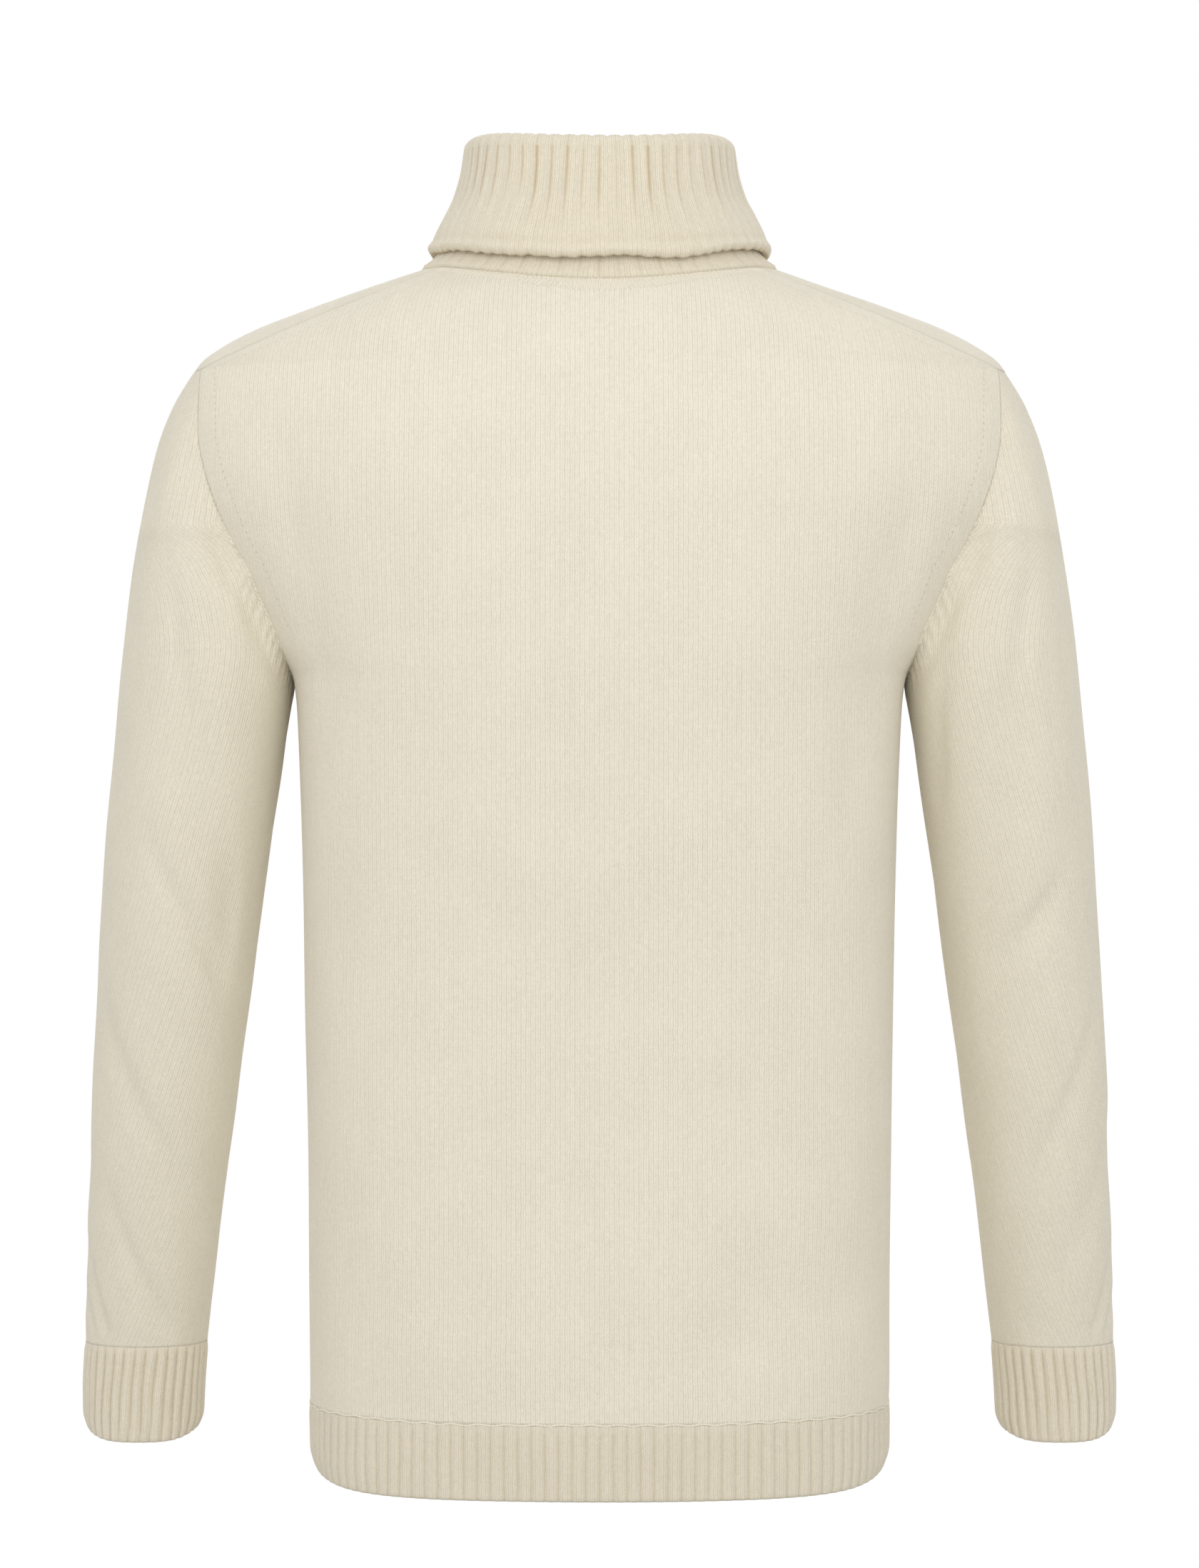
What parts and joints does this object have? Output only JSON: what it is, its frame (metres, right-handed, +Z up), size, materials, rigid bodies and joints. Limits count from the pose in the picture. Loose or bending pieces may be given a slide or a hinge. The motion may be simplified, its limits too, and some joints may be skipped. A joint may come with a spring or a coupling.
{
  "type": "half-zip sweater",
  "caption": "Long-sleeved knitted half-zip sweater with a folded ribbed collar, ribbed cuffs and hem, in the hollow shape it has when worn.",
  "frame": {"origin": "middle of the neck opening, at the height where the shoulders meet the collar, where the wearer's neck and shoulders hold the garment", "axes": "+Z up, +Y towards the back of the garment, +X towards the wearer's left sleeve"},
  "size_m": [0.5958, 0.239, 0.7584],
  "materials": {
    "knit": "soft plain knit wool, slightly fuzzy",
    "rib": "soft ribbed knit wool",
    "tape": "woven zip tape",
    "zip_metal": "satin metal"
  },
  "bodies": {
    "garment": {"back_panel": "knit", "front_panel": "knit", "sleeve_top_left": "knit", "sleeve_top_right": "knit", "sleeve_left": "knit", "sleeve_right": "knit", "cuff_left": "rib", "cuff_right": "rib", "hem_band_back": "rib", "hem_band_front": "rib", "collar": "rib", "zip_tape_left": "tape", "zip_tape_right": "tape", "zip_slider": "zip_metal", "zip_bottom_stop": "zip_metal"},
    "pull_tab": {"zip_pull": "zip_metal"}
  },
  "joints": [
    {"name": "pull_tab_swing", "type": "hinge", "parent": "garment", "child": "pull_tab", "pos_m": [0, -0.0849, -0.0075], "axis": [-1, 0, 0], "range_deg": [0, 120]}
  ]
}
